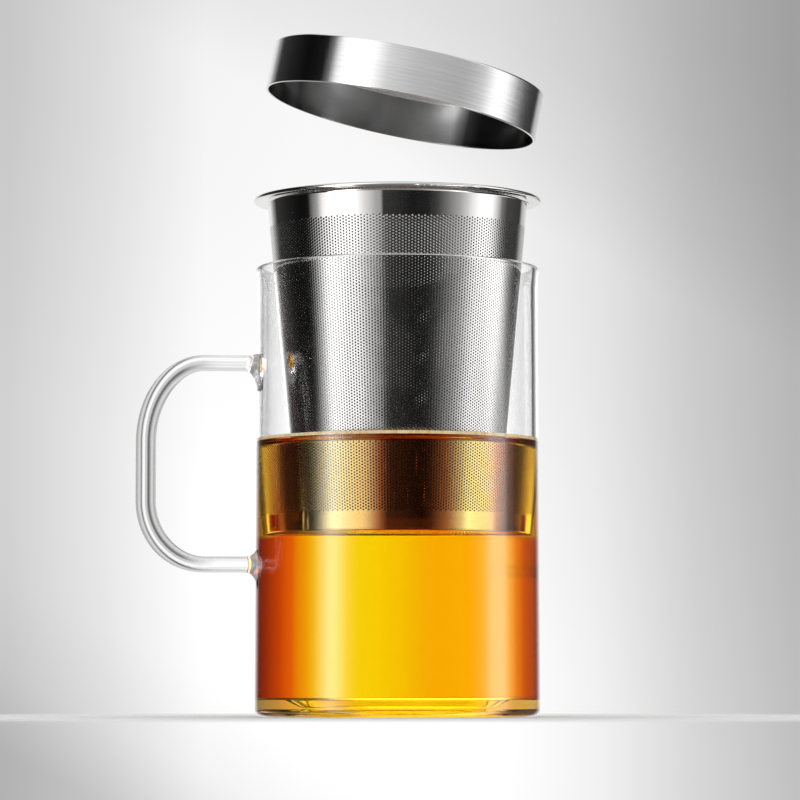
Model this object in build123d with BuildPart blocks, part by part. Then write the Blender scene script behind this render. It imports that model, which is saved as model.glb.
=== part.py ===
import os
from math import cos, radians, sin

from build123d import *

os.makedirs("parts", exist_ok=True)

# Millimetres. The origin is the middle of the cup's base, +Z is up and the handle points along -X.

# Glass cup
cup_height = 135
cup_radius = 42.2  # outside, just under the flared rim
heel_growth = 0.6  # extra outside radius at the heel
rim_flare = 0.45  # extra outside radius at the rim
rim_depth = 6  # height of the flared band
cup_wall = 1.8
heel_round = 2.5
floor_edge = 6.4  # floor thickness beside the wall
floor_middle = 2.6  # floor thickness in the well
well_radius = 19  # flat middle of the well
well_slope = 5  # width of the slope around it
floor_corner = 3  # inside round between floor and wall
rim_round = 0.48 * cup_wall  # fire-polished lip

# Glass handle
finger_gap = 30.25  # from the cup's side to the inside of the grip
handle_top = 105.75
handle_bottom = 45.35
handle_width = 9
run_thickness = 5  # the two level runs
grip_thickness = 6.3  # the upright grip
corner_reach = 17.5  # the corners are quarter ellipses
upper_corner_height = 24
lower_corner_height = 19

# Glass bosses that fuse the handle to the cup
boss_length = 3.8
boss_neck = 1.8  # length of the narrow end
boss_neck_swell = 0.6  # extra radius where the narrow end turns into the flare
boss_height = 10.6
boss_width = 13
upper_boss_drop = 2.05  # the flares sit a little lower than the runs
lower_boss_drop = 0.5

# Infuser
infuser_raise = 19.4  # how far it is drawn up out of the cup
seat_gap = 0.2  # between its flange and the cup's rim when it is down
flange_overhang = 0.75  # past the cup's flared rim
flange_sheet = 0.5
bead_radius = 0.62  # rolled outer edge of the flange
neck_clearance = 1.2  # between the neck and the inside of the cup
neck_drop = 1.2
neck_round = 0.8
infuser_taper = 9  # how much narrower the foot is than the neck
infuser_depth = 100
wall_sheet = 0.5
floor_sheet = 0.6
floor_edge_round = 0.35

# Lid
lid_play = 0.46  # between the lid and the rolled edge round it
lid_height = 14.6
lid_sheet = 0.8
lid_edge_round = 0.7  # outside corner round the top
lid_inner_round = 1.5
lid_gap = 0.2  # between the lid and the flange when it is closed
lid_angle = 11.3  # how far the lid has swung up from its closed place
swing_beyond = 90.15  # centre of the lid's swing, out from the lid's side
swing_rise = 8.45  # and above the closed lid's edge

# Levels and places that follow
heel_radius = cup_radius + heel_growth
rim_radius = cup_radius + rim_flare
flare_start = cup_height - rim_depth
boss_end = cup_radius + boss_length
handle_reach = cup_radius + finger_gap + grip_thickness / 2
neck_radius = cup_radius - cup_wall - neck_clearance
foot_radius = neck_radius - infuser_taper
flange_radius = rim_radius + flange_overhang
bead_middle = flange_radius - bead_radius
lid_radius = flange_radius - 2 * bead_radius - lid_play
swing_reach = lid_radius + swing_beyond
flange_level = cup_height + seat_gap + infuser_raise
foot_level = flange_level - infuser_depth
neck_level = flange_level - neck_drop
cone_slope = (neck_radius - foot_radius) / infuser_depth
lid_seat_level = flange_level + flange_sheet + lid_gap


def cone_radius(level):
    """Outside radius of the infuser's tapered wall at a level."""
    return foot_radius + cone_slope * (level - foot_level)


def across(x, z):
    """A plane square to the handle's runs, with its x along the cup's Y."""
    return Plane(origin=(x, 0, z), x_dir=(0, 1, 0), z_dir=(-1, 0, 0))


# The cup's outside as a solid glass blank. It also trims what is fused to the cup.
with BuildPart() as cup_blank:
    with BuildSketch(Plane.XZ):
        with BuildLine():
            Polyline(
                (0, 0),
                (heel_radius, 0),
                (cup_radius, flare_start),
                (rim_radius, cup_height),
                (0, cup_height),
                close=True,
            )
        make_face()
    revolve(axis=Axis.Z)
    fillet(cup_blank.edges().group_by(Axis.Z)[0], heel_round)

# The blank is hollowed down to a thick floor with a shallow well in its middle.
with BuildPart() as glass_cup:
    add(cup_blank.part)
    with BuildSketch(Plane.XZ):
        with BuildLine():
            FilletPolyline(
                (0, floor_middle),
                (well_radius, floor_middle),
                (well_radius + well_slope, floor_edge),
                (heel_radius - cup_wall, floor_edge),
                (cup_radius - cup_wall, flare_start),
                (rim_radius - cup_wall, cup_height),
                (0, cup_height),
                radius=[0, well_slope, well_slope / 2, floor_corner, 0, 0, 0],
                close=True,
            )
        make_face()
    revolve(axis=Axis.Z, mode=Mode.SUBTRACT)
    fillet(glass_cup.edges().group_by(Axis.Z)[-1], rim_round)
glass_cup.part.label = "glass_cup"
export_step(glass_cup.part, "parts/glass_cup.step")

# The handle is a flattened glass rod bent into a D, thicker in the grip than in its runs.
with BuildPart() as glass_handle:
    with BuildLine(Plane.XZ) as handle_path:
        upper_run = Line((-boss_end, handle_top), (corner_reach - handle_reach, handle_top))
        EllipticalCenterArc(
            (corner_reach - handle_reach, handle_top - upper_corner_height),
            corner_reach,
            upper_corner_height,
            start_angle=90,
            arc_size=90,
        )
        Line(
            (-handle_reach, handle_top - upper_corner_height),
            (-handle_reach, handle_bottom + lower_corner_height),
        )
        EllipticalCenterArc(
            (corner_reach - handle_reach, handle_bottom + lower_corner_height),
            corner_reach,
            lower_corner_height,
            start_angle=180,
            arc_size=90,
        )
        Line((corner_reach - handle_reach, handle_bottom), (-boss_end, handle_bottom))
    with BuildSketch(across(-boss_end, handle_top)):
        Ellipse(handle_width / 2, run_thickness / 2)
    with BuildSketch(
        Plane(
            origin=(-handle_reach, 0, (handle_top + handle_bottom) / 2),
            x_dir=(0, 1, 0),
            z_dir=(0, 0, -1),
        )
    ):
        Ellipse(handle_width / 2, grip_thickness / 2)
    with BuildSketch(across(-boss_end, handle_bottom)):
        Ellipse(handle_width / 2, run_thickness / 2)
    sweep(path=handle_path.wires()[0], multisection=True)
glass_handle.part.label = "glass_handle"
export_step(glass_handle.part, "parts/glass_handle.step")

# Each boss flares from the rod's section to a wide foot that follows the cup's wall.
with BuildPart() as handle_boss_upper:
    with BuildSketch(across(-boss_end, handle_top)):
        Ellipse(handle_width / 2, run_thickness / 2)
    with BuildSketch(across(boss_neck - boss_end, handle_top - upper_boss_drop / 4)):
        Ellipse(handle_width / 2 + boss_neck_swell, run_thickness / 2 + boss_neck_swell)
    with BuildSketch(across(-cup_radius, handle_top - upper_boss_drop)):
        Ellipse(boss_width / 2, boss_height / 2)
    loft()
    extrude(handle_boss_upper.faces().sort_by(Axis.X)[-1], amount=boss_length)
    add(cup_blank.part, mode=Mode.SUBTRACT)
handle_boss_upper.part.label = "handle_boss_upper"
export_step(handle_boss_upper.part, "parts/handle_boss_upper.step")

with BuildPart() as handle_boss_lower:
    with BuildSketch(across(-boss_end, handle_bottom)):
        Ellipse(handle_width / 2, run_thickness / 2)
    with BuildSketch(across(boss_neck - boss_end, handle_bottom - lower_boss_drop / 4)):
        Ellipse(handle_width / 2 + boss_neck_swell, run_thickness / 2 + boss_neck_swell)
    with BuildSketch(across(-cup_radius, handle_bottom - lower_boss_drop)):
        Ellipse(boss_width / 2, boss_height / 2)
    loft()
    extrude(handle_boss_lower.faces().sort_by(Axis.X)[-1], amount=boss_length)
    add(cup_blank.part, mode=Mode.SUBTRACT)
handle_boss_lower.part.label = "handle_boss_lower"
export_step(handle_boss_lower.part, "parts/handle_boss_lower.step")

# The infuser's rim: a short neck that turns out into a flat flange with a rolled edge.
with BuildPart() as infuser_rim:
    with BuildSketch(Plane.XZ):
        with BuildLine():
            FilletPolyline(
                (cone_radius(neck_level), neck_level),
                (neck_radius, flange_level),
                (bead_middle, flange_level),
                (bead_middle, flange_level + flange_sheet),
                (neck_radius - wall_sheet, flange_level + flange_sheet),
                (cone_radius(neck_level) - wall_sheet, neck_level),
                radius=[0, neck_round, 0, 0, neck_round + flange_sheet, 0],
                close=True,
            )
        make_face()
        with Locations((bead_middle, flange_level + bead_radius)):
            Circle(bead_radius)
    revolve(axis=Axis.Z)
infuser_rim.part.label = "infuser_rim"
export_step(infuser_rim.part, "parts/infuser_rim.step")

# The tapered wall. Its micro-perforation is too fine to be modelled here and stays plain.
with BuildPart() as infuser_wall:
    with BuildSketch(Plane.XZ):
        with BuildLine():
            Polyline(
                (cone_radius(foot_level + floor_sheet), foot_level + floor_sheet),
                (cone_radius(neck_level), neck_level),
                (cone_radius(neck_level) - wall_sheet, neck_level),
                (cone_radius(foot_level + floor_sheet) - wall_sheet, foot_level + floor_sheet),
                close=True,
            )
        make_face()
    revolve(axis=Axis.Z)
infuser_wall.part.label = "infuser_wall"
export_step(infuser_wall.part, "parts/infuser_wall.step")

# The floor closes the wall's lower edge with a rounded corner.
with BuildPart() as infuser_floor:
    with BuildSketch(Plane.XY.offset(foot_level)):
        Circle(cone_radius(foot_level + floor_sheet))
    extrude(amount=floor_sheet)
    fillet(infuser_floor.edges().group_by(Axis.Z)[0], floor_edge_round)
infuser_floor.part.label = "infuser_floor"
export_step(infuser_floor.part, "parts/infuser_floor.step")

# The lid is a loose drawn cap that stands on the flange, inside its rolled edge.
# It is lifted here: swung up about a line along Y that lies out to its +X side.
lid_x = swing_reach * (1 - cos(radians(lid_angle))) - swing_rise * sin(radians(lid_angle))
lid_lift = swing_rise * (1 - cos(radians(lid_angle))) + swing_reach * sin(radians(lid_angle))
lid_profile_plane = Plane(
    origin=(lid_x, 0, lid_seat_level + lid_lift),
    x_dir=(cos(radians(lid_angle)), 0, -sin(radians(lid_angle))),
    z_dir=(0, -1, 0),
)
with BuildPart() as lid:
    with BuildSketch(lid_profile_plane):
        with BuildLine():
            FilletPolyline(
                (0, lid_height),
                (lid_radius, lid_height),
                (lid_radius, 0),
                (lid_radius - lid_sheet, 0),
                (lid_radius - lid_sheet, lid_height - lid_sheet),
                (0, lid_height - lid_sheet),
                radius=[0, lid_edge_round, 0, 0, lid_inner_round, 0],
                close=True,
            )
        make_face()
    revolve(axis=Axis(lid_profile_plane.origin, lid_profile_plane.y_dir))
lid.part.label = "lid"
export_step(lid.part, "parts/lid.step")
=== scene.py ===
from math import atan2, ceil, cos, pi, radians, sin, tan, tau

import bmesh
import bpy
from mathutils import Matrix, Vector


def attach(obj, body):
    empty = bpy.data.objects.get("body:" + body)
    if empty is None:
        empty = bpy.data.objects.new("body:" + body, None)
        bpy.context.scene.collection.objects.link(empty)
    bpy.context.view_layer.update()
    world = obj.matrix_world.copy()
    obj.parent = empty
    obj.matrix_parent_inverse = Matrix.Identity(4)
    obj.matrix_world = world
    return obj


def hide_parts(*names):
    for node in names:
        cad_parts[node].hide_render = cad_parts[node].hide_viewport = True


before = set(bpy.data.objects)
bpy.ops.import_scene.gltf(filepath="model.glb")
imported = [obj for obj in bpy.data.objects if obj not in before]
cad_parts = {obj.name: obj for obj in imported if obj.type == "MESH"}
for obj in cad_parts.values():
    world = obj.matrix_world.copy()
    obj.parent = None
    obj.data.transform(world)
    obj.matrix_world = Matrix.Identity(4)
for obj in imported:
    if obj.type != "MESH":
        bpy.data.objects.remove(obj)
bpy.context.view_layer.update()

MM = 0.001

# Sizes in millimetres, the part's own except where a comment says so. The cup stands on z = 0 and its handle
# points along -X.

# Glass cup. Its floor differs inside from the part's, as that matched the photograph better through the tea.
CUP_HEIGHT = 135
CUP_RADIUS = 42.2  # outside, just under the flared rim
HEEL_RADIUS = CUP_RADIUS + 0.6
RIM_RADIUS = CUP_RADIUS + 0.45
RIM_DEPTH = 6  # height of the flared band
RIM_BEND = 12  # radius of the soft bend under it
CUP_WALL = 1.8
HEEL_ROUND = 2.5
FLOOR_EDGE = 5.1  # floor thickness beside the wall
FLOOR_MIDDLE = 2.6  # floor thickness in the well
WELL_RADIUS = 19.5
WELL_SLOPE = 3.5
FLOOR_CORNER = 0.5

# Glass handle and the bosses that fuse it to the cup
HANDLE_TOP = 105.75
HANDLE_BOTTOM = 45.35
HANDLE_WIDTH = 9
RUN_THICKNESS = 5  # the two level runs
GRIP_THICKNESS = 6.3  # the upright grip
HANDLE_REACH = CUP_RADIUS + 30.25 + GRIP_THICKNESS / 2
CORNER_REACH = 17.5  # the corners are quarter ellipses
UPPER_CORNER = 24
LOWER_CORNER = 19
BOSS_END = CUP_RADIUS + 3.8
BOSS_NECK = 1.8
BOSS_HEIGHT = 10.6
BOSS_WIDTH = 13
UPPER_BOSS_DROP = 2.05
LOWER_BOSS_DROP = 0.5

# Infuser, where it hangs at rest
FLANGE_LEVEL = CUP_HEIGHT + 19.6
NECK_LEVEL = FLANGE_LEVEL - 1.2
FOOT_LEVEL = FLANGE_LEVEL - 100
NECK_RADIUS = CUP_RADIUS - CUP_WALL - 1.2
FOOT_RADIUS = NECK_RADIUS - 9
WALL_SHEET = 0.5
FLOOR_SHEET = 0.6
SHEET_INSET = 0.02  # how far the punched wall keeps inside both faces of the part's wall
HOLES_TOP = FLANGE_LEVEL - 7.4
HOLES_BOTTOM = FOOT_LEVEL + 5.6
HOLE_COLUMNS = 254
HOLE_ROWS = 99
HOLE_RADIUS = 0.29
HOLE_EXIT_RADIUS = 0.11  # on the inner face
HOLE_ROLL = 0.08  # how far the face's shading rolls into a hole
FLOOR_PUNCHED = FOOT_RADIUS - 1.6  # radius of the punched part of the floor
FLOOR_RIM = FLOOR_PUNCHED - 0.6  # inner radius of the plain ring round it
FLOOR_COLUMN = 0.78  # spacing of the floor's holes
FLOOR_ROW = 0.886

# Lid. It is 0.15 smaller in radius and 0.12 lower than the part's, so that its finer mesh keeps inside the
# part's box.
LID_RADIUS = RIM_RADIUS - 1.1
LID_HEIGHT = 14.48
LID_SHEET = 0.8
LID_EDGE_ROUND = 0.7
LID_INNER_ROUND = 1.5
LID_LIP_ROUND = 0.25
LID_ANGLE = radians(11.3)
SWING_REACH = RIM_RADIUS + 89.2  # centre of the lid's swing, out from the cup's axis
SWING_RISE = 8.45  # and above the closed lid's edge
LID_SEAT = FLANGE_LEVEL + 0.7

# Tea
TEA_LEVEL = 80.6
TEA_SINK = 0.04  # how far it reaches into the glass
MENISCUS_RISE = 2.1  # how far the tea's surface curves up at the glass
MENISCUS_WIDTH = 5.5
# The tea's painted bright line lies between the next two levels.
TEA_EDGE_LOW = TEA_LEVEL + 1.8  # the bright line along the tea's edge
TEA_EDGE_HIGH = TEA_LEVEL + 2.7
TINT_LOW = FOOT_LEVEL - 2.1  # the tea turns paler between these levels
TINT_HIGH = FOOT_LEVEL - 0.1

# The camera, as the photograph was taken: a long lens from just above the base, tipped up.
VIEW_TURN = radians(6)
VIEW_DISTANCE = 1200
VIEW_HEIGHT = 7
VIEW_ASIDE = 0.78
VIEW_TILT = radians(4.2)
VIEW_LENS = 179.8


def cup_outside(z):
    """Outside radius of the cup's straight wall."""
    return HEEL_RADIUS + (CUP_RADIUS - HEEL_RADIUS) * z / (CUP_HEIGHT - RIM_DEPTH)


def cone_radius(z):
    """Outside radius of the infuser's tapered wall."""
    return FOOT_RADIUS + (NECK_RADIUS - FOOT_RADIUS) * (z - FOOT_LEVEL) / (FLANGE_LEVEL - FOOT_LEVEL)


# ---------------- mesh helpers


def rounded(corners, steps=8, guard=0.02):
    """Points along a line through corners (r, z, radius), with each corner rounded to its radius.

    A point just outside each end of the round keeps the smooth shading of the straight stretches true.
    """
    points = []
    for i, (r, z, radius) in enumerate(corners):
        here = Vector((r, z))
        if radius == 0 or i in (0, len(corners) - 1):
            points.append(here)
            continue
        before = (Vector(corners[i - 1][:2]) - here).normalized()
        after = (Vector(corners[i + 1][:2]) - here).normalized()
        half = before.angle(after) / 2
        reach = radius / tan(half)
        centre = here + (before + after).normalized() * radius / sin(half)
        start = here + before * reach - centre
        end = here + after * reach - centre
        a0 = atan2(start.y, start.x)
        turn = (atan2(end.y, end.x) - a0 + pi) % tau - pi
        points.append(here + before * (reach + guard))
        for k in range(steps + 1):
            a = a0 + turn * k / steps
            points.append(centre + Vector((cos(a), sin(a))) * radius)
        points.append(here + after * (reach + guard))
    return points


def divided(points, longest):
    """The same line with its long stretches divided."""
    out = [points[0]]
    for a, b in zip(points, points[1:]):
        n = max(1, ceil((b - a).length / longest))
        out += [a.lerp(b, k / n) for k in range(1, n + 1)]
    return out


def lathe(name, points, segments=192):
    """A closed body of revolution round Z from points (r, z) in millimetres."""
    bm = bmesh.new()
    rings = []
    for p in points:
        if p.x < 1e-6:
            rings.append([bm.verts.new((0, 0, p.y * MM))])
        else:
            angles = (tau * k / segments for k in range(segments))
            rings.append([bm.verts.new((p.x * cos(a) * MM, p.x * sin(a) * MM, p.y * MM)) for a in angles])
    for low, high in zip(rings, rings[1:] + rings[:1]):
        if len(low) == len(high) == 1:
            continue
        for k in range(segments):
            m = (k + 1) % segments
            if len(low) == 1:
                bm.faces.new((low[0], high[m], high[k]))
            elif len(high) == 1:
                bm.faces.new((low[k], low[m], high[0]))
            else:
                bm.faces.new((low[k], low[m], high[m], high[k]))
    return finished(name, bm)


def finished(name, bm):
    """An object from a bmesh, with its normals outward and smooth shading."""
    bmesh.ops.recalc_face_normals(bm, faces=bm.faces)
    for face in bm.faces:
        face.smooth = True
    mesh = bpy.data.meshes.new(name)
    bm.to_mesh(mesh)
    bm.free()
    return placed(name, mesh)


def placed(name, data):
    """An object in the scene, from a mesh or a camera."""
    made = bpy.data.objects.new(name, data)
    bpy.context.scene.collection.objects.link(made)
    return made


def sharpen(piece, degrees):
    """Marks edges sharper than an angle, so that smooth shading stops at them."""
    bm = bmesh.new()
    bm.from_mesh(piece.data)
    for edge in bm.edges:
        if edge.is_manifold and edge.calc_face_angle(0) > radians(degrees):
            edge.smooth = False
    bm.to_mesh(piece.data)
    bm.free()


# ---------------- node helpers


def grey(level):
    """A plain grey, as a colour with its alpha."""
    return (level, level, level, 1)


class Nodes:
    """Short calls for building a node tree. They give sockets, and take sockets or plain values."""

    def __init__(self, owner):
        owner.use_nodes = True
        self.tree = owner.node_tree
        self.tree.nodes.clear()

    def new(self, kind, **settings):
        node = self.tree.nodes.new(kind)
        for key, value in settings.items():
            setattr(node, key, value)
        return node

    def link(self, a, b):
        self.tree.links.new(a, b)

    def fill(self, socket, value):
        """Links an input to a socket, or sets it to a plain value."""
        if isinstance(value, bpy.types.NodeSocket):
            self.link(value, socket)
        else:
            socket.default_value = value

    def math(self, operation, a, b=0.0, c=0.0, clamp=False):
        node = self.new("ShaderNodeMath", operation=operation, use_clamp=clamp)
        for socket, value in zip(node.inputs, (a, b, c)):
            self.fill(socket, value)
        return node.outputs[0]

    def times(self, *factors):
        """The product of two or more numbers."""
        product = factors[0]
        for factor in factors[1:]:
            product = self.math("MULTIPLY", product, factor)
        return product

    def scaled(self, value, factor, offset):
        """The value times a factor, plus an offset."""
        return self.math("MULTIPLY_ADD", value, factor, offset)

    def radius(self, x, y):
        """Distance from the origin in the plane."""
        return self.math("SQRT", self.math("ADD", self.times(x, x), self.times(y, y)))

    def below(self, value, limit):
        """1 where a value is under a limit, else 0."""
        return self.math("LESS_THAN", value, limit)

    def smooth(self, value, start, end):
        """0 to 1 with soft ends as a value goes from start to end, which may be the lower one."""
        node = self.new("ShaderNodeMapRange", interpolation_type="SMOOTHSTEP")
        self.link(value, node.inputs["Value"])
        node.inputs["From Min"].default_value = start
        node.inputs["From Max"].default_value = end
        return node.outputs[0]

    def mix(self, factor, a, b, blend="MIX"):
        """Colour a where the factor is 0, and b where it is 1."""
        node = self.new("ShaderNodeMix", data_type="RGBA", blend_type=blend, clamp_factor=True)
        self.fill(node.inputs[0], factor)
        self.fill(node.inputs[6], a)
        self.fill(node.inputs[7], b)
        return node.outputs[2]

    def tinted(self, a, b):
        """One colour times another."""
        return self.mix(1.0, a, b, "MULTIPLY")

    def ramp(self, factor, stops):
        """A colour that runs through stops (place, colour), with a plain number for a grey."""
        node = self.new("ShaderNodeValToRGB")
        elements = node.color_ramp.elements
        while len(elements) < len(stops):
            elements.new(0.5)
        for element, (place, colour) in zip(elements, stops):
            element.position = place
            element.color = grey(colour) if isinstance(colour, (int, float)) else (*colour, 1)
        self.fill(node.inputs[0], factor)
        return node.outputs[0]

    def noise(self, vector, scale, detail=2, roughness=0.5):
        node = self.new("ShaderNodeTexNoise")
        self.fill(node.inputs["Vector"], vector)
        node.inputs["Scale"].default_value = scale
        node.inputs["Detail"].default_value = detail
        node.inputs["Roughness"].default_value = roughness
        return node.outputs[0]

    def place(self, scale=(1, 1, 1)):
        """The piece's own coordinates, scaled."""
        coordinates = self.new("ShaderNodeTexCoord")
        node = self.new("ShaderNodeMapping")
        node.inputs["Scale"].default_value = scale
        self.link(coordinates.outputs["Object"], node.inputs["Vector"])
        return node.outputs[0]

    def axes(self, vector):
        """The x, y and z of a vector."""
        node = self.new("ShaderNodeSeparateXYZ")
        self.link(vector, node.inputs[0])
        return node.outputs

    def slant(self):
        """0 where a surface is seen straight on, and 1 where it is seen edge on."""
        node = self.new("ShaderNodeLayerWeight")
        node.inputs["Blend"].default_value = 0.5
        return node.outputs["Facing"]

    def backfacing(self):
        """1 where a surface is seen from inside its body."""
        return self.new("ShaderNodeNewGeometry").outputs["Backfacing"]

    def bump(self, height, strength, distance):
        node = self.new("ShaderNodeBump")
        node.inputs["Strength"].default_value = strength
        node.inputs["Distance"].default_value = distance
        self.link(height, node.inputs["Height"])
        return node.outputs[0]


def material(name, constants):
    """A new material that ends in a Principled shader, with that shader's constant inputs set."""
    made = bpy.data.materials.new(name)
    nodes = Nodes(made)
    shader = nodes.new("ShaderNodeBsdfPrincipled")
    output = nodes.new("ShaderNodeOutputMaterial")
    nodes.link(shader.outputs[0], output.inputs["Surface"])
    for key, value in constants.items():
        shader.inputs[key].default_value = value
    return made, nodes, shader.inputs, output


# ---------------- glass

GLASS = {"Transmission Weight": 1, "Roughness": 0, "IOR": 1.47}


def drawn_waves(nodes, sockets):
    """The slow waves that working leaves in a glass surface."""
    waves = nodes.noise(nodes.place((1, 1, 0.35)), scale=25, detail=1)
    nodes.link(nodes.bump(waves, strength=0.03, distance=0.4 * MM), sockets["Normal"])


def blown_glass():
    """The cup's glass, greyer where seen slantwise as painted shade. Its thick base is painted with the tea's
    amber light.
    """
    made, nodes, sockets, _ = material("blown_glass", GLASS)
    slant = nodes.slant()
    # Painted shade: greyer where the glass is seen slantwise, which draws its edges.
    tint = nodes.ramp(slant, [(0.0, 0.995), (0.6, 0.99), (0.68, 0.95), (0.74, 0.75), (0.85, 0.6), (1.0, 0.6)])
    # Painted light: the tea's amber in the base, strongest where it is seen straight on.
    glow = nodes.ramp(
        slant,
        [(0.0, (1, 0.6, 0.03)), (0.25, (1, 0.5, 0.03)), (0.304, (1, 0.42, 0.04)), (0.368, (1, 0.45, 0.08)),
         (0.43, (1, 0.46, 0.13)), (0.51, (1, 0.49, 0.2)), (0.6, (1, 0.56, 0.4)),
         (0.67, (1, 0.64, 0.56)), (0.83, (1, 0.82, 0.82)), (1.0, (1, 0.95, 0.95))],
    )
    x, y, z = nodes.axes(nodes.place())
    outer = nodes.smooth(nodes.radius(x, y), 38 * MM, 39.5 * MM)
    low = nodes.smooth(z, (FLOOR_EDGE + 0.1) * MM, (FLOOR_EDGE - 0.2) * MM)
    # Light mirrored to and fro inside the base would take on its colour again at every turn.
    bounces = nodes.new("ShaderNodeLightPath").outputs["Glossy Depth"]
    base = nodes.times(outer, low, nodes.smooth(bounces, 3.5, 2.5))
    nodes.link(nodes.mix(base, tint, glow), sockets["Base Color"])
    drawn_waves(nodes, sockets)
    return made


def drawn_glass():
    """The handle's glass: painted dark lines along its grip and corners, on the side towards the camera."""
    made, nodes, sockets, _ = material("drawn_glass", GLASS)
    # Painted shade: grey bands where the rod is seen slantwise.
    tint = nodes.ramp(
        nodes.slant(),
        [(0.0, 0.98), (0.06, 0.97), (0.11, 0.6), (0.15, 0.9), (0.35, 0.85), (0.5, 0.55), (0.7, 0.6),
         (1.0, 0.5)],
    )
    x, y, z = nodes.axes(nodes.place())
    # How far out a place lies: 1 along the middle of the rod, less inside the D and more outside it.
    aside = nodes.scaled(x, -1 / (CORNER_REACH * MM), (CORNER_REACH - HANDLE_REACH) / CORNER_REACH)
    over = nodes.scaled(z, 1 / (UPPER_CORNER * MM), 1 - HANDLE_TOP / UPPER_CORNER)
    under = nodes.scaled(z, -1 / (LOWER_CORNER * MM), 1 + HANDLE_BOTTOM / LOWER_CORNER)
    squares = [nodes.math("POWER", nodes.math("MAXIMUM", part, 0.0), 2.0) for part in (aside, over, under)]
    ring = nodes.math("SQRT", nodes.math("ADD", nodes.math("ADD", squares[0], squares[1]), squares[2]))
    # Painted shade in lines across the rod, from its inner edge, at 0, past its middle, at 0.47, to its outer
    # edge, at 1.
    lines = nodes.ramp(
        nodes.scaled(ring, 2.95, 0.47 - 2.95),
        [(0.0, 0.8), (0.055, 0.22), (0.11, 0.3), (0.16, 0.5), (0.21, 0.45), (0.26, 0.22), (0.31, 0.07),
         (0.36, 0.004), (0.415, 0.1), (0.465, 0.4), (0.515, 0.3), (0.57, 0.95), (0.62, 0.9), (0.66, 0.5),
         (0.7, 0.01), (0.73, 0.01), (0.77, 0.3), (0.82, 0.5), (0.87, 0.28), (0.925, 0.18), (0.97, 0.5),
         (1.0, 0.8)],
    )
    # The painted lines keep to the grip and corners, on the side towards the camera.
    past_the_runs = nodes.smooth(x, -52 * MM, -66 * MM)
    near_side = nodes.smooth(y, MM, -MM)
    nodes.link(nodes.mix(nodes.times(past_the_runs, near_side), tint, lines), sockets["Base Color"])
    drawn_waves(nodes, sockets)
    return made


def fused_glass():
    """The clouded glass of the bosses, where the handle was melted on, with a faint painted glow."""
    # Painted light: a faint white glow that lightens the bosses, though they are no lamp.
    painted_glow = {"Transmission Weight": 0.85, "Emission Color": (1, 0.96, 0.96, 1), "Emission Strength": 0.2}
    made, nodes, sockets, _ = material("fused_glass", {**GLASS, **painted_glow})
    cloud = nodes.noise(nodes.place((1, 1, 2)), scale=260, detail=3, roughness=0.6)
    nodes.link(nodes.ramp(cloud, [(0.35, (0.9, 0.87, 0.88)), (0.6, (1, 0.99, 1))]), sockets["Base Color"])
    nodes.link(nodes.bump(cloud, strength=0.1, distance=0.4 * MM), sockets["Normal"])
    return made


def fire_polished():
    """The melted lip of the cup, which gathers light into a bright line."""
    bright = {"Roughness": 0.08, "Metallic": 0.5, "Coat Weight": 1, "Coat IOR": 4, "Coat Roughness": 0.1}
    made, nodes, sockets, _ = material("fire_polished", {**GLASS, **bright})
    waves = nodes.noise(nodes.place(), scale=90)
    nodes.link(nodes.ramp(waves, [(0.3, (0.97, 0.97, 0.98)), (0.7, (1, 1, 1))]), sockets["Base Color"])
    nodes.link(nodes.bump(waves, strength=0.05, distance=0.3 * MM), sockets["Normal"])
    return made


def cup_profile():
    """The cup's closed section, from the middle of its base round to the middle of its floor."""
    lip = CUP_WALL * 0.49
    corners = [
        (0, 0, 0),
        (HEEL_RADIUS, 0, HEEL_ROUND),
        (CUP_RADIUS, CUP_HEIGHT - RIM_DEPTH, RIM_BEND),
        (RIM_RADIUS, CUP_HEIGHT, lip),
        (RIM_RADIUS - CUP_WALL, CUP_HEIGHT, lip),
        (CUP_RADIUS - CUP_WALL, CUP_HEIGHT - RIM_DEPTH, RIM_BEND),
        (HEEL_RADIUS - CUP_WALL, FLOOR_EDGE, FLOOR_CORNER),
        (WELL_RADIUS + WELL_SLOPE, FLOOR_EDGE, WELL_SLOPE / 2),
        (WELL_RADIUS, FLOOR_MIDDLE, WELL_SLOPE),
        (0, FLOOR_MIDDLE, 0),
    ]
    return divided(rounded(corners), longest=4)


def boss(level, drop):
    """Stations from inside the cup's wall out to where the boss has narrowed to the rod."""
    half_height, half_width = RUN_THICKNESS / 2, HANDLE_WIDTH / 2
    taller = (BOSS_HEIGHT - RUN_THICKNESS) / 2
    wider = (BOSS_WIDTH - HANDLE_WIDTH) / 2
    # Distance from the cup's axis, and the shares of the flare's extra height and width that are left there.
    flare = [
        (CUP_RADIUS - CUP_WALL * 0.5, 1, 1),
        (CUP_RADIUS, 1, 1),
        (CUP_RADIUS + 0.5, 0.8, 0.82),
        (CUP_RADIUS + 1.1, 0.45, 0.5),
        (BOSS_END - BOSS_NECK, 0.12, 0.2),
        (BOSS_END - 0.9, 0.03, 0.06),
        (BOSS_END, 0, 0),
    ]
    return [
        ((-x, level - drop * share), (-1, 0), half_height + taller * share, half_width + wider * spread)
        for x, share, spread in flare
    ]


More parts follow.
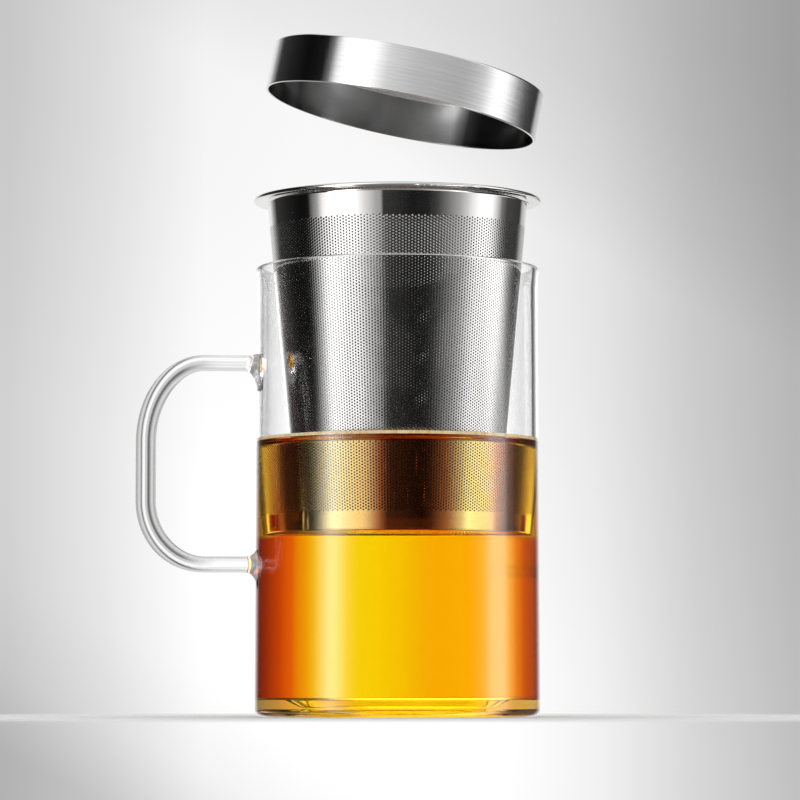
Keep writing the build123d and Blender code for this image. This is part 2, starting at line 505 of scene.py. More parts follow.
def handle_stations():
    """Places along the rod from its upper end to its lower: centre, direction, half thickness, half width."""
    run_steps, bend_steps = 8, 24
    flat = CORNER_REACH - HANDLE_REACH  # where the runs turn into the corners
    top = HANDLE_TOP - UPPER_CORNER
    bottom = HANDLE_BOTTOM + LOWER_CORNER

    def station(x, z, along):
        """The rod thickens as it turns from a run into the grip."""
        share = min(1, max(0, (-x + flat) / CORNER_REACH))
        thickness = RUN_THICKNESS + (GRIP_THICKNESS - RUN_THICKNESS) * share * share * (3 - 2 * share)
        return (x, z), along, thickness / 2, HANDLE_WIDTH / 2

    def straight(x0, z0, x1, z1, along):
        """Between two places, both left out."""
        made = []
        for k in range(1, run_steps):
            made.append(station(x0 + (x1 - x0) * k / run_steps, z0 + (z1 - z0) * k / run_steps, along))
        return made

    def bend(level, tall, start):
        """A quarter ellipse anticlockwise from an angle."""
        made = []
        for k in range(bend_steps + 1):
            a = start + pi / 2 * k / bend_steps
            along = Vector((-CORNER_REACH * sin(a), tall * cos(a))).normalized()
            made.append(station(flat + CORNER_REACH * cos(a), level + tall * sin(a), tuple(along)))
        return made

    lower_boss = boss(HANDLE_BOTTOM, LOWER_BOSS_DROP)
    return (
        boss(HANDLE_TOP, UPPER_BOSS_DROP)
        + straight(-BOSS_END, HANDLE_TOP, flat, HANDLE_TOP, (-1, 0))
        + bend(top, UPPER_CORNER, pi / 2)
        + straight(-HANDLE_REACH, top, -HANDLE_REACH, bottom, (0, -1))
        + bend(bottom, LOWER_CORNER, pi)
        + straight(flat, HANDLE_BOTTOM, -BOSS_END, HANDLE_BOTTOM, (1, 0))
        + [(centre, (1, 0), tall, wide) for centre, _, tall, wide in reversed(lower_boss)]
    )


def handle_tube(around=72):
    """The bent rod, with the faint long ridges that drawing leaves in glass."""

    def ridge(a):
        return 0.97 + 0.016 * sin(3 * a + 0.7) + 0.008 * sin(7 * a + 2.1) + 0.003 * sin(13 * a)

    bm = bmesh.new()
    rings = []
    aside = Vector((0, 1, 0))
    for (x, z), (dx, dz), tall, wide in handle_stations():
        centre, up = Vector((x, 0, z)), Vector((dz, 0, -dx))
        ring = []
        for k in range(around):
            a = tau * k / around
            ring.append(bm.verts.new((centre + (aside * wide * cos(a) + up * tall * sin(a)) * ridge(a)) * MM))
        rings.append(ring)
    for low, high in zip(rings, rings[1:]):
        for k in range(around):
            m = (k + 1) % around
            bm.faces.new((low[k], low[m], high[m], high[k]))
    bm.faces.new(rings[0])
    bm.faces.new(rings[-1])
    return finished("handle_tube", bm)


def glass_body():
    """Cup, bosses and handle as one piece of glass, with no faces left inside it."""
    cup = lathe("glass_mug", cup_profile())
    cup.data.materials.append(blown_glass())
    rod = handle_tube()
    rod.data.materials.append(drawn_glass())
    join = cup.modifiers.new("join", "BOOLEAN")
    join.operation = "UNION"
    join.solver = "EXACT"
    join.object = rod
    join.material_mode = "TRANSFER"
    bpy.context.view_layer.update()
    joined = bpy.data.meshes.new_from_object(cup.evaluated_get(bpy.context.evaluated_depsgraph_get()))
    cup.modifiers.clear()
    cup.data = joined
    bpy.data.objects.remove(rod)
    joined.materials.append(fire_polished())
    joined.materials.append(fused_glass())
    drawn, lip, fused = 1, 2, 3
    for polygon in joined.polygons:
        polygon.use_smooth = True
        if polygon.center.z / MM > CUP_HEIGHT - 0.5:
            polygon.material_index = lip
        elif polygon.material_index == drawn and polygon.center.x / MM > 0.5 - BOSS_END:
            polygon.material_index = fused
    sharpen(cup, degrees=50)
    return cup


# ---------------- tea


def tea_edge_painted_glow():
    """A painted highlight where the tea's edge clings to the glass, glowing though no lamp. From inside the
    tea it doesn't glow.
    """
    made, nodes, sockets, _ = material("tea_edge_painted_glow", {"Roughness": 0.4, "Emission Strength": 0.3})
    nodes.link(nodes.mix(nodes.backfacing(), (1, 0.78, 0.4, 1), grey(0)), sockets["Emission Color"])
    # Painted highlight in fine cream dots.
    painted_dots = nodes.noise(nodes.place((1, 1, 0.2)), scale=700)
    nodes.link(nodes.ramp(painted_dots, [(0.35, (0.7, 0.5, 0.22)), (0.6, (1, 0.88, 0.58))]), sockets["Base Color"])
    return made


def tea_in_well():
    """The tea in the cup's well. It bends light as the glass round it does, so its edge doesn't show."""
    made, nodes, sockets, _ = material("tea_in_well", GLASS)
    cloud = nodes.noise(nodes.place(), scale=40)
    nodes.link(nodes.ramp(cloud, [(0.3, (1, 0.88, 0.05)), (0.7, (1, 0.93, 0.08))]), sockets["Base Color"])
    return made


def tea_above_foot(nodes, slant, across):
    """The tea's tint round the infuser, in painted light and shade: bands by slant, and a reddish shadow
    across its middle.
    """
    tint = nodes.ramp(
        slant,
        [(0.0, (1, 0.52, 0.36)), (0.018, (1, 0.54, 0.34)), (0.035, (1, 0.8, 0.6)), (0.06, (1, 0.85, 0.7)),
         (0.1, (1, 0.75, 0.5)), (0.12, (0.9, 0.42, 0.26)), (0.135, (0.75, 0.14, 0.06)),
         (0.19, (0.6, 0.06, 0.01)), (0.23, (1, 0.5, 0.05)), (0.3, (1, 0.56, 0.05)), (0.5, (1, 0.36, 0.01))],
    )
    reddish = (1, 0.22, 0.16)
    # Painted shadow: a reddish band across the tea's middle.
    shadow = nodes.ramp(across, [(0.0, 1), (0.37, 1), (0.41, reddish), (0.6, reddish), (0.66, 1), (1, 1)])
    return nodes.tinted(tint, shadow)


def tea_below_foot(nodes, slant, across):
    """The tea's tint below the infuser, where its left half is lit otherwise than its right."""
    left = nodes.ramp(
        slant,
        [(0.0, (1, 1, 0.001)), (0.04, (1, 1, 0.003)), (0.085, (1, 0.72, 0.002)), (0.11, (1, 0.3, 0.001)),
         (0.15, (0.85, 0.04, 0.0001)), (0.19, (0.7, 0.015, 0.0001)), (0.25, (0.6, 0.008, 0.0001)),
         (0.5, (0.1, 0.001, 0.0001))],
    )
    right = nodes.ramp(
        slant,
        [(0.0, (1, 0.48, 0.0002)), (0.05, (1, 0.45, 0.0002)), (0.079, (1, 0.4, 0.0002)),
         (0.098, (1, 0.43, 0.0002)), (0.14, (1, 0.43, 0.0001)), (0.166, (1, 0.4, 0.0001)),
         (0.193, (0.95, 0.14, 0.0001)), (0.224, (0.75, 0.04, 0.0001)), (0.26, (0.7, 0.04, 0.0001)),
         (0.5, (0.2, 0.004, 0.0001))],
    )
    return nodes.mix(nodes.smooth(across, 0.38, 0.58), left, right)


def brewed_tea(infuser):
    """Clear amber tea in partly painted light and shade: paler round the infuser, deeper below it, redder
    where seen slantwise.
    """
    made, nodes, sockets, output = material("brewed_tea", {**GLASS, "IOR": 1.333})
    slant = nodes.slant()
    across = nodes.scaled(nodes.axes(nodes.place())[0], 10, 0.5)  # 0 to 1 over 100 mm of the tea's own x
    # The tint changes at the infuser's foot, in the infuser's own coordinates, so the change moves with it.
    hung = nodes.axes(nodes.new("ShaderNodeTexCoord", object=infuser).outputs["Object"])[2]
    # Paler round the infuser: painted light.
    above = tea_above_foot(nodes, slant, across)
    below = tea_below_foot(nodes, slant, across)
    side = nodes.mix(nodes.smooth(hung, TINT_LOW * MM, TINT_HIGH * MM), below, above)
    upward = nodes.axes(nodes.new("ShaderNodeTexCoord").outputs["Normal"])[2]
    # Light is tinted as it enters, except through the underside, and not on its way out.
    plain = nodes.math("MAXIMUM", nodes.backfacing(), nodes.smooth(upward, -0.004, -0.04))
    tint = nodes.mix(plain, side, (1, 0.96, 0.8, 1))
    # Painted shade: the tea's surface where it curves up the glass is coloured a dark red.
    meniscus_painted_shade = nodes.times(nodes.smooth(upward, 0.05, 0.2), nodes.smooth(upward, 0.999, 0.98))
    nodes.link(nodes.mix(meniscus_painted_shade, tint, (0.6, 0.008, 0.001, 1)), sockets["Base Color"])
    absorb = nodes.new("ShaderNodeVolumeAbsorption")
    absorb.inputs["Color"].default_value = (0.995, 0.87, 0.03, 1)
    absorb.inputs["Density"].default_value = 43
    nodes.link(absorb.outputs[0], output.inputs["Volume"])
    return made


def tea_body(infuser):
    """The tea, a hair into the glass so that no air shows between them, with its edge drawn up the wall."""
    side = cup_outside(TEA_LEVEL) - CUP_WALL + TEA_SINK
    lip = side - 0.1
    corners = [
        (0, FLOOR_EDGE - TEA_SINK, 0),
        (HEEL_RADIUS - CUP_WALL + TEA_SINK, FLOOR_EDGE - TEA_SINK, FLOOR_CORNER),
        (side, TEA_EDGE_LOW, 0),
        (side, TEA_EDGE_HIGH, 0),
        (lip, TEA_EDGE_HIGH, 0),
    ]
    points = divided(rounded(corners), longest=4)
    for k in range(17):
        t = k / 16
        points.append(Vector((lip - MENISCUS_WIDTH * t * t, TEA_LEVEL + MENISCUS_RISE * (1 - t) ** 2)))
    points.append(Vector((0, TEA_LEVEL)))
    body = lathe("tea", points)
    sharpen(body, degrees=35)
    body.data.materials.append(brewed_tea(infuser))
    body.data.materials.append(tea_edge_painted_glow())
    for polygon in body.data.polygons:
        if polygon.center.z / MM > TEA_EDGE_LOW and polygon.center.xy.length / MM > side - 0.2:
            polygon.material_index = 1
    brim = WELL_RADIUS + WELL_SLOPE
    foot = [
        (0, FLOOR_MIDDLE - TEA_SINK, 0),
        (WELL_RADIUS, FLOOR_MIDDLE - TEA_SINK, WELL_SLOPE),
        (brim, FLOOR_EDGE - TEA_SINK, WELL_SLOPE / 2),
        (brim + 1.5, FLOOR_EDGE - TEA_SINK, 0),
        (brim + 1.5, FLOOR_EDGE, 0),
        (0, FLOOR_EDGE, 0),
    ]
    well = lathe("tea_foot", divided(rounded(foot), longest=4))
    sharpen(well, degrees=35)
    well.data.materials.append(tea_in_well())
    return body, well


# ---------------- steel


def polished_steel(name, roughness):
    """Bright drawn steel with faint handling haze."""
    made, nodes, sockets, _ = material(name, {"Metallic": 1})
    haze = nodes.noise(nodes.place(), scale=60, detail=4, roughness=0.6)
    nodes.link(nodes.ramp(haze, [(0.3, (0.71, 0.7, 0.69)), (0.7, (0.74, 0.73, 0.72))]), sockets["Base Color"])
    nodes.link(nodes.scaled(haze, 0.03, roughness - 0.015), sockets["Roughness"])
    drawn = nodes.noise(nodes.place((1, 1, 12)), scale=160)
    nodes.link(nodes.bump(drawn, strength=0.02, distance=0.05 * MM), sockets["Normal"])
    return made


def shaded_hole_steel():
    """The rough sheared wall inside each punched hole, painted dark as shade in the hole."""
    made, nodes, sockets, _ = material("shaded_hole_steel", {"Metallic": 1})
    grain = nodes.noise(nodes.place(), scale=900)
    # Painted shade: far darker than the steel's own colour.
    painted_hole_shade = nodes.ramp(grain, [(0.3, (0.08, 0.078, 0.076)), (0.7, (0.16, 0.156, 0.152))])
    nodes.link(painted_hole_shade, sockets["Base Color"])
    nodes.link(nodes.scaled(grain, 0.2, 0.45), sockets["Roughness"])
    return made


def brushed_steel(name, tone, roughness=0.1, metallic=1.0, painted_reflections=None):
    """Satin steel with fine lines brushed round the lid's axis.

    Optional stops of painted reflection, lighter and darker, run from one end of the lid's x axis at 0 to the
    other at 1.
    """
    turned = {"Metallic": metallic, "Anisotropic": 0.8, "Anisotropic Rotation": 0.25}
    made, nodes, sockets, _ = material(name, turned)
    x, y, z = nodes.axes(nodes.new("ShaderNodeTexCoord").outputs["Object"])
    unrolled = nodes.new("ShaderNodeCombineXYZ")
    nodes.link(nodes.times(nodes.math("ARCTAN2", y, x), 0.5), unrolled.inputs[0])
    nodes.link(nodes.times(nodes.radius(x, y), 1 / MM), unrolled.inputs[1])
    nodes.link(nodes.times(z, 1 / MM), unrolled.inputs[2])
    short_lines = nodes.noise(unrolled.outputs[0], scale=9, detail=3, roughness=0.7)
    long_lines = nodes.noise(unrolled.outputs[0], scale=2.2, detail=3, roughness=0.6)
    lines = nodes.math("ADD", nodes.times(short_lines, 0.6), nodes.times(long_lines, 0.4))
    brushed = nodes.ramp(lines, [(0.38, tone * 0.84), (0.62, tone)])
    # Painted reflections: the steel's colour is made lighter and darker across the lid.
    if painted_reflections:
        brushed = nodes.tinted(brushed, nodes.ramp(nodes.scaled(x, 0.5 / (LID_RADIUS * MM), 0.5), painted_reflections))
    nodes.link(brushed, sockets["Base Color"])
    nodes.link(nodes.scaled(lines, 0.1, roughness), sockets["Roughness"])
    tangent = nodes.new("ShaderNodeTangent", direction_type="RADIAL", axis="Z")
    nodes.link(tangent.outputs[0], sockets["Tangent"])
    nodes.link(nodes.bump(lines, strength=0.12, distance=0.05 * MM), sockets["Normal"])
    return made


# ---------------- infuser


class PunchedSheet:
    """A steel sheet of round holes, each column of holes set half a step from its neighbours.

    place(column, row, depth, across, up) gives the sheet's point at a column and a row, at depth 0 on its
    outer face and 1 on its inner one, moved along the sheet by across and up. columns is how many go round a
    closed sheet. facing is 1 for a point of the outer face, -1 for the inner face and 0 for a hole's wall.
    """

    def __init__(self, place, columns=None):
        self.place = place
        self.columns = columns
        self.points = []
        self.facings = []
        self.leans = []
        self.index = {}
        self.faces = []
        self.painted_hole_shade = []

    def point(self, key, facing, *where):
        """The number of a point, which is made the first time its key is asked for."""
        if key not in self.index:
            self.index[key] = len(self.points)
            self.points.append(self.place(*where))
            self.facings.append(facing)
            # Round a hole, the outer face's shading leans in towards the hole's middle.
            middle = self.place(*where[:-2], 0, 0)
            self.leans.append((middle - self.points[-1]) * HOLE_ROLL / HOLE_RADIUS * max(facing, 0))
        return self.index[key]

    def corner(self, column, side, half_row, depth):
        """A corner that three cells share, a third of a column to one side of a column's middle."""
        wrapped = column % self.columns if self.columns else column
        key = (wrapped, side, half_row, depth)
        return self.point(key, 1 - 2 * depth, column + side / 3, half_row / 2, depth, 0, 0)

    def rim(self, column, half_row, depth, kind):
        """The six points round a hole. Those of its wall are apart from those of the faces."""
        facing = 1 - 2 * depth if kind == "face" else 0
        radius = HOLE_RADIUS if depth == 0 else HOLE_EXIT_RADIUS
        made = []
        for k in range(6):
            a = radians(60 - 60 * k)
            key = (column, half_row, depth, kind, k)
            across, up = radius * cos(a), radius * sin(a)
            made.append(self.point(key, facing, column, half_row / 2, depth, across, up))
        return made

    def strip(self, low, high, flip):
        """Faces between two rows of points."""
        for k in range(len(low) - 1):
            face = (low[k], low[k + 1], high[k + 1], high[k])
            self.faces.append(face[::-1] if flip else face)
            # Faces of a hole's wall take the steel that is painted dark as shade.
            self.painted_hole_shade.append(self.facings[low[k]] == 0)

    def punch(self, column, half_row):
        """One six-sided cell of both faces, with its hole's wall between them."""
        corners = [
            (column, 1, half_row + 1), (column + 1, -1, half_row), (column, 1, half_row - 1),
            (column, -1, half_row - 1), (column - 1, 1, half_row), (column, -1, half_row + 1),
        ]
        for depth in (0, 1):
            cell = [self.corner(*corner, depth) for corner in corners]
            rim = self.rim(column, half_row, depth, "face")
            self.strip(cell + cell[:1], rim + rim[:1], depth == 0)
        outer, inner = (self.rim(column, half_row, depth, "wall") for depth in (0, 1))
        self.strip(outer + outer[:1], inner + inner[:1], True)

    def piece(self, name, normal):
        """The sheet as an object. Its faces shade as the true curved surface, with normal(point) outward."""
        mesh = bpy.data.meshes.new(name)
        mesh.from_pydata([p * MM for p in self.points], [], self.faces)
        mesh.shade_smooth()
        mesh.polygons.foreach_set("material_index", self.painted_hole_shade)
        tilts = zip(self.points, self.facings, self.leans)
        mesh.normals_split_custom_set_from_vertices([normal(p) * facing + lean for p, facing, lean in tilts])
        return placed(name, mesh)


def infuser_mesh_wall():
    """The infuser's tapered wall, punched all over between two plain bands."""
    pitch = (HOLES_TOP - HOLES_BOTTOM) / (HOLE_ROWS + 0.5)
    taper = (NECK_RADIUS - FOOT_RADIUS) / (FLANGE_LEVEL - FOOT_LEVEL)

    def place(column, row, depth, across, up):
        z = HOLES_BOTTOM + row * pitch + up
        r = cone_radius(z) - SHEET_INSET - (WALL_SHEET - 2 * SHEET_INSET) * depth
        a = tau * column / HOLE_COLUMNS + across / r
        return Vector((r * cos(a), r * sin(a), z))

    def outward(point):
        return Vector((point.x, point.y, -taper * point.xy.length)).normalized()

    sheet = PunchedSheet(place, HOLE_COLUMNS)
    for column in range(HOLE_COLUMNS):
        for row in range(HOLE_ROWS):
            sheet.punch(column, 2 * row + 1 + column % 2)
    # The plain bands, from the outermost cells to the neck above and to the floor below.
    for level, edge in ((NECK_LEVEL, 2 * HOLE_ROWS), (FOOT_LEVEL + FLOOR_SHEET, 0)):
        row = (level - HOLES_BOTTOM) / pitch
        for depth in (0, 1):
            holes, band = [], []
            for column in range(HOLE_COLUMNS + 1):
                for side in (-1, 1):
                    holes.append(sheet.corner(column, side, edge + column % 2, depth))
                    key = (column % HOLE_COLUMNS, side, level, depth)
                    band.append(sheet.point(key, 1 - 2 * depth, column + side / 3, row, depth, 0, 0))
            sheet.strip(holes[:-1], band[:-1], (level == NECK_LEVEL) == (depth == 1))
    return sheet.piece("infuser_mesh_wall", outward)


def infuser_mesh_floor():
    """The infuser's floor: a punched disc held in a plain rounded ring."""
    top = FOOT_LEVEL + FLOOR_SHEET
    middle = FOOT_LEVEL + FLOOR_SHEET / 2
    half_sheet = 0.12

    def place(column, row, depth, across, up):
        z = middle - half_sheet + 2 * half_sheet * depth
        return Vector((-column * FLOOR_COLUMN - across, row * FLOOR_ROW + up, z))

    sheet = PunchedSheet(place)
    reach = int(FLOOR_PUNCHED / FLOOR_COLUMN)
    for column in range(-reach, reach + 1):
        for row in range(-reach, reach + 1):
            half_row = 2 * row + column % 2
            if Vector((column * FLOOR_COLUMN, half_row / 2 * FLOOR_ROW)).length < FLOOR_PUNCHED:
                sheet.punch(column, half_row)
    disc = sheet.piece("infuser_mesh_floor", lambda point: Vector((0, 0, -1)))
    section = [
        (FLOOR_RIM, middle, 0),
        (FLOOR_RIM, FOOT_LEVEL, 0.1),
        (cone_radius(top), FOOT_LEVEL, 0.35),
        (cone_radius(top), top, 0.1),
        (FLOOR_RIM, top, 0.1),
        (FLOOR_RIM, middle, 0),
    ]
    ring = lathe("floor_ring", rounded(section, steps=4)[:-1], segments=160)
    return disc, ring


# ---------------- lid


def lid_body():
    """The lid in its own upright frame, then swung to where it is held."""
    inner_radius = LID_RADIUS - LID_SHEET
    ceiling_level = LID_HEIGHT - LID_SHEET
    corners = [
        (0, LID_HEIGHT, 0),
        (LID_RADIUS, LID_HEIGHT, LID_EDGE_ROUND),
        (LID_RADIUS, 0, LID_LIP_ROUND),
        (inner_radius, 0, LID_LIP_ROUND),
        (inner_radius, ceiling_level, LID_INNER_ROUND),
        (0, ceiling_level, 0),
    ]
    body = lathe("lid_shell", divided(rounded(corners), longest=3))
    pivot = Vector((SWING_REACH, 0, LID_SEAT + SWING_RISE)) * MM
    turned = Matrix.Rotation(LID_ANGLE, 4, "Y")
    seated = Matrix.Translation(Vector((0, 0, LID_SEAT)) * MM)
    body.matrix_world = Matrix.Translation(pivot) @ turned @ Matrix.Translation(-pivot) @ seated
    # Painted reflections on the lid's inside: dark at both ends, lighter in two bands.
    painted_reflections = [
        (0.0, 0.08), (0.14, 0.25), (0.175, 0.7), (0.22, 1.0), (0.3, 0.85), (0.4, 0.72), (0.47, 0.6),
        (0.56, 0.6), (0.61, 0.7), (0.655, 1.0), (0.73, 1.0), (0.755, 0.5), (0.785, 0.12), (0.83, 0.04),
        (1.0, 0.04),
    ]
    for steel in (
        brushed_steel("brushed_steel", 0.75),
        brushed_steel("brushed_inside_painted_reflections", 0.9, painted_reflections=painted_reflections),
        polished_steel("lip_steel", 0.08),
        # The corner is painted lighter than the ceiling, a painted highlight along it.
        brushed_steel("brushed_ceiling", 0.6, roughness=0.3, metallic=0.25),
        brushed_steel("brushed_corner_painted_highlight", 1.0, roughness=0.3, metallic=0.25),
    ):
        body.data.materials.append(steel)
    inside, lip, ceiling, corner = 1, 2, 3, 4
    for polygon in body.data.polygons:
        z, r = polygon.center.z / MM, polygon.center.xy.length / MM
        level = abs(polygon.normal.z)
        if z < 0.2:
            polygon.material_index = lip
        elif r < LID_RADIUS - LID_SHEET / 2 and z < LID_HEIGHT - LID_SHEET / 2:
            polygon.material_index = inside if level < 0.2 else corner if level < 0.95 else ceiling
    return body


# ---------------- build and place

glass = glass_body()
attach(glass, "mug")
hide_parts("glass_cup", "glass_handle", "handle_boss_upper", "handle_boss_lower")

# The second steel, for the holes' walls, is painted dark as shade.
punched = (polished_steel("punched_steel", 0.055), shaded_hole_steel())
wall = infuser_mesh_wall()
for slot in punched:
    wall.data.materials.append(slot)
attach(wall, "infuser")
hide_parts("infuser_wall")

for tea in tea_body(wall):
    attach(tea, "mug")

for piece in infuser_mesh_floor():
    for slot in punched:
        piece.data.materials.append(slot)
    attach(piece, "infuser")
    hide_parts("infuser_floor")

rim_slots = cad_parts["infuser_rim"].data.materials
rim_slots.clear()
rim_slots.append(polished_steel("rim_steel", 0.05))

lid = lid_body()
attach(lid, "lid")
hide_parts("lid")

# ---------------- stage, light and camera


class Studio(Nodes):
    """The room round the cup, drawn by the direction and the kind of each ray.

    Singular rays have left clear glass or tea. Bare rays are the rest, such as those that the steel mirrors.
    Bearings are in degrees: facing is 0 towards the camera, behind is 0 away from it, and both grow to the
    right of the picture.
    """

    def __init__(self, world):
        super().__init__(world)
        self.x, self.y, self.z = self.axes(self.new("ShaderNodeTexCoord").outputs["Generated"])
        self.ray = self.new("ShaderNodeLightPath").outputs
        self.singular = self.ray["Is Singular Ray"]
        self.bare = self.math("SUBTRACT", 1.0, self.singular)
        self.facing = self.bearing(-1.0, VIEW_TURN)
        self.behind = self.bearing(1.0, -VIEW_TURN)
        self.ahead = self.math("ADD", self.times(self.x, sin(VIEW_TURN)), self.times(self.y, cos(VIEW_TURN)))

    def bearing(self, depth, turn, reach=180):
        """The bearing from -reach to reach, as 0 to 1. depth is -1 for facing and 1 for behind."""
        turned = self.math("ADD", self.math("ARCTAN2", self.x, self.times(self.y, depth)), turn)
        return self.math("MULTIPLY_ADD", turned, 0.5 / radians(reach), 0.5, clamp=True)

    def ring(self, bearing, *stops):
        """Levels round the room, from stops (degrees, level)."""
        return self.ramp(bearing, [((degrees + 180) / 360, level) for degrees, level in stops])

    def room(self):
        """A tall soft light on each side of a dark room, as steel and the inside of glass mirror it."""
        z = self.z
        level = self.ring(
            self.facing,
            (-180, 0.6), (-156, 0.6), (-148, 0.35), (-140, 0.04), (-110, 0.003), (-86, 0.008), (-82, 0.2),
            (-76, 0.35), (-70, 0.85), (-62, 1.0), (-38, 1.0), (-30, 0.65), (-19, 0.33), (-14.5, 0.3),
            (-13, 0.03), (13, 0.008), (27, 0.012), (36, 0.04), (46, 0.15), (58, 0.33), (66, 0.55), (71, 0.78),
            (78, 1.0), (110, 1.0), (118, 0.5), (126, 0.2), (136, 0.03), (150, 0.03), (162, 0.15), (180, 0.6),
        )
        high = self.ring(
            self.facing,
            (-180, 0.6), (-156, 0.6), (-148, 0.3), (-138, 0.03), (-115, 0.012), (-95, 0.003), (-73, 0.003),
            (-66, 0.14), (-59, 0.8), (-53, 1.0), (-28, 1.0), (-14, 0.6), (10, 0.46), (50, 0.42), (70, 0.5),
            (80, 1.0), (92, 1.0), (99, 0.6), (107, 0.15), (115, 0.05), (142, 0.03), (150, 0.4), (180, 0.6),
        )
        sunk = self.ring(
            self.facing,
            (-180, 0.4), (-163, 0.4), (-157, 1.0), (-152, 0.9), (-144, 0.1), (-115, 0.01), (-100, 0.01),
            (-94, 0.35), (-81, 0.6), (-71, 1.0), (-38, 1.0), (-30, 0.7), (-22, 0.4), (-16, 0.2), (-11, 0.04),
            (27, 0.004), (36, 0.03), (46, 0.15), (58, 0.33), (71, 0.75), (78, 1.3), (98, 1.5), (112, 1.3),
            (121, 0.6), (130, 0.25), (144, 0.25), (155, 0.9), (162, 1.2), (168, 0.4), (180, 0.4),
        )
        deep = self.ring(
            self.facing,
            (-180, 0.6), (-150, 0.6), (-140, 0.03), (-74, 0.005), (-67, 0.03), (-61, 4.0), (-46, 4.0),
            (-38, 0.5), (-28, 0.18), (0, 0.16), (20, 0.22), (47, 0.8), (60, 1.6), (66, 1.5), (73, 0.05),
            (82, 0.01), (140, 0.01), (150, 0.6), (180, 0.6),
        )
        # To the right of 65 to 86 degrees, steel mirrors the high ring from a little further down.
        right_of = self.times(self.smooth(self.facing, 0.68, 0.74), self.smooth(z, -0.07, -0.04))
        lifted = self.math("MAXIMUM", self.smooth(z, -0.03, 0.02), right_of)
        room = self.mix(self.times(self.bare, lifted), level, high)
        room = self.mix(self.times(self.singular, self.smooth(z, -0.15, -0.165)), room, sunk)
        # Straight away from the camera it is white, and a dark red below that, which the tea's surface shows.
        away = self.ring(self.facing, (-180, 1), (-157, 1), (-149, 0), (165, 0), (173, 1), (180, 1))
        beyond = self.mix(self.smooth(z, -0.03, -0.045), grey(1.95), (0.22, 0.012, 0.002, 1))
        room = self.mix(self.times(self.singular, away, self.smooth(z, -0.18, -0.16)), room, beyond)
        room = self.mix(self.times(self.bare, self.smooth(z, -0.15, -0.21)), room, deep)
        return self.tinted(room, grey(1.55))

    def reflected(self):
        """The room with a light overhead, and darker below."""
        room = self.mix(self.smooth(self.z, 0.72, 0.85), self.room(), grey(1.2))
        below = self.times(self.smooth(self.z, -0.4, -0.6), self.smooth(self.ahead, 0.6, 0.3), self.singular)
        room = self.mix(below, room, self.tinted(room, grey(0.2)))
        return self.mix(self.times(self.bare, self.smooth(self.z, -0.68, -0.8)), room, grey(0.2))

    def backdrop(self):
        """What the camera sees: a pale wall, brightest behind the cup and darker to both sides."""
        wall = self.ring(
            self.behind,
            (-180, 0.95), (-12, 0.95), (-6, 0.6), (-4.4, 0.78), (-3, 1.02), (-1, 1.08), (1, 1.06),
            (2.9, 0.88), (4.2, 0.68), (6, 0.5), (12, 0.95), (180, 0.95),
        )
        # Height plus half the bearing in radians. The wall darkens along it, down left and up right.
        reach = 30
        slope = self.math("MULTIPLY_ADD", self.bearing(1.0, -VIEW_TURN, reach), radians(reach), self.z)
        shade = self.ramp(
            self.scaled(slope, 2.5, 0.5 - radians(reach) / 2 * 2.5),
            [(0.34, 0.7), (0.39, 0.88), (0.45, 0.98), (0.5, 1.0), (0.56, 1.0), (0.65, 0.95), (0.75, 0.9),
             (0.83, 0.88), (0.88, 0.78), (0.94, 0.7), (1.0, 0.66)],
        )
        # Beyond the picture it is plain, so that no seam shows from other sides.
        aside = self.ring(self.behind, (-180, 1), (-30, 1), (-18, 0), (18, 0), (30, 1), (180, 1))
        return self.tinted(wall, self.mix(aside, shade, grey(0.88)))

    def seen_through(self):
        """What is seen through glass and tea: dark at the sides, which draws their edges."""
        wall = self.ring(
            self.behind,
            (-180, 0.85), (-88, 0.85), (-80, 0.5), (-72, 0.15), (-62, 0.25), (-55, 0.4), (-45, 0.62),
            (-36, 0.84), (-28, 0.97), (-20, 1.07), (-3, 1.12), (3, 1.12), (20, 1.07), (28, 0.97), (36, 0.7),
            (45, 0.46), (55, 0.3), (62, 0.12), (72, 0.12), (80, 0.5), (88, 0.85), (180, 0.85),
        )
        # Through no more than two surfaces, as those of the handle or the cup's base.
        once_through = self.ring(
            self.behind,
            (-180, 0.85), (-62, 0.85), (-40, 0.8), (-30, 0.95), (-3, 1.12), (3, 1.12), (26, 1.1), (32, 0.85),
            (42, 0.6), (50, 0.53), (62, 0.48), (75, 0.55), (88, 0.85), (180, 0.85),
        )
        wall = self.mix(self.below(self.ray["Transmission Depth"], 2.5), wall, once_through)
        wall = self.mix(self.smooth(self.z, 0.4, 0.8), wall, grey(0.95))
        return self.mix(self.smooth(self.z, -0.25, -0.7), wall, grey(0.6))

    def glints(self, through):
        """What the outside of the glass mirrors: two narrow lights, and what lies behind it."""
        lights = self.ring(
            self.facing,
            (-180, 0.2), (-165, 0.08), (-150, 0.03), (-120, 0.02), (-76, 0.02), (-70, 0.3), (-63, 2.4),
            (-56, 4.8), (-51, 4.0), (-47, 2.6), (-41, 0.7), (-34, 0.08), (-28, 0.01), (60, 0.01), (67, 0.2),
            (74.6, 0.7), (83, 3.0), (90, 3.3), (97, 2.8), (101.6, 0.9), (112, 0.1), (130, 0.05), (150, 0.1),
            (180, 0.2),
        )
        lights = self.mix(self.smooth(self.ahead, 0.86, 0.98), lights, through)
        return self.mix(self.smooth(self.z, 0.5, 0.65), lights, grey(1.2))

    def colour(self):
        """One plain level for diffuse rays, and the views above for the other kinds."""
        through = self.seen_through()
        colour = self.mix(self.ray["Is Glossy Ray"], grey(0.85), self.reflected())
        few_surfaces = self.below(self.ray["Transmission Depth"], 2.5)
        mirrored_once = self.below(self.ray["Glossy Depth"], 1.5)
        on_glass = self.times(self.singular, few_surfaces, mirrored_once)
        colour = self.mix(on_glass, colour, self.glints(through))
        unmirrored = self.below(self.ray["Glossy Depth"], 0.5)
        colour = self.mix(self.times(self.ray["Is Transmission Ray"], unmirrored), colour, through)
        return self.mix(self.ray["Is Camera Ray"], colour, self.backdrop())


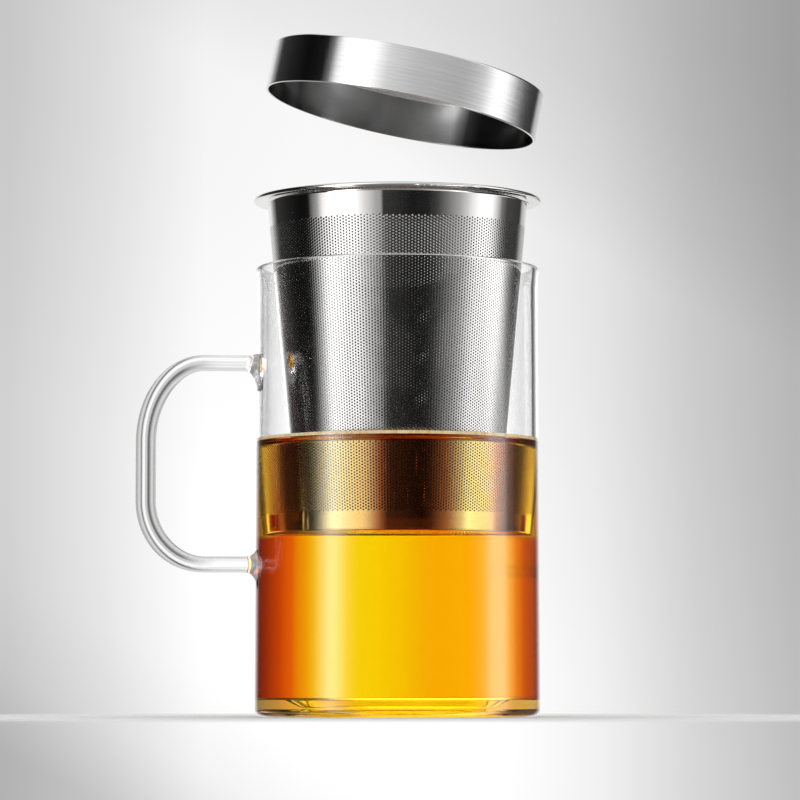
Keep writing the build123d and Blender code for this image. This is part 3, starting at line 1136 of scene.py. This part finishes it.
def studio_world():
    """The studio as the scene's world, which gives all the light."""
    world = bpy.data.worlds.new("studio")
    bpy.context.scene.world = world
    studio = Studio(world)
    background = studio.new("ShaderNodeBackground")
    studio.link(studio.colour(), background.inputs["Color"])
    output = studio.new("ShaderNodeOutputWorld")
    studio.link(background.outputs[0], output.inputs["Surface"])
    world.cycles.sampling_method = "NONE"


def pale_floor():
    """A pale floor that fades into the surroundings away from the cup."""
    bm = bmesh.new()
    bmesh.ops.create_circle(bm, cap_ends=True, segments=96, radius=800 * MM)
    ground = finished("floor", bm)
    ground.location.z = -0.05 * MM  # so that its face doesn't meet the cup's
    pale = {"Base Color": grey(0.9), "Roughness": 0.9, "Specular IOR Level": 0.1}
    made, nodes, sockets, _ = material("floor", pale)
    x, y, _ = nodes.axes(nodes.new("ShaderNodeTexCoord").outputs["Object"])
    near = nodes.smooth(nodes.radius(x, y), 280 * MM, 100 * MM)
    # Light that the glass or the tea has mirrored passes the floor, to find the studio behind it.
    ray = nodes.new("ShaderNodeLightPath").outputs
    mirrored = nodes.times(ray["Is Singular Ray"], nodes.smooth(ray["Glossy Depth"], 0.3, 0.7))
    nodes.link(nodes.times(near, nodes.math("SUBTRACT", 1.0, mirrored)), sockets["Alpha"])
    ground.data.materials.append(made)
    ground.visible_glossy = False


def camera():
    """The photograph's view."""
    data = bpy.data.cameras.new("camera")
    data.lens = VIEW_LENS
    data.sensor_width = 36
    data.clip_end = 50
    view = placed("camera", data)
    right = Vector((cos(VIEW_TURN), -sin(VIEW_TURN), 0))
    back = Vector((-sin(VIEW_TURN), -cos(VIEW_TURN), 0))
    view.location = (back * VIEW_DISTANCE + right * VIEW_ASIDE + Vector((0, 0, VIEW_HEIGHT))) * MM
    view.rotation_euler = (pi / 2 + VIEW_TILT, 0, -VIEW_TURN)
    bpy.context.scene.camera = view


studio_world()
pale_floor()
camera()

scene = bpy.context.scene
scene.view_settings.view_transform = "Standard"
scene.cycles.max_bounces = 32
scene.cycles.transmission_bounces = 32
scene.cycles.glossy_bounces = 12
scene.cycles.transparent_max_bounces = 16
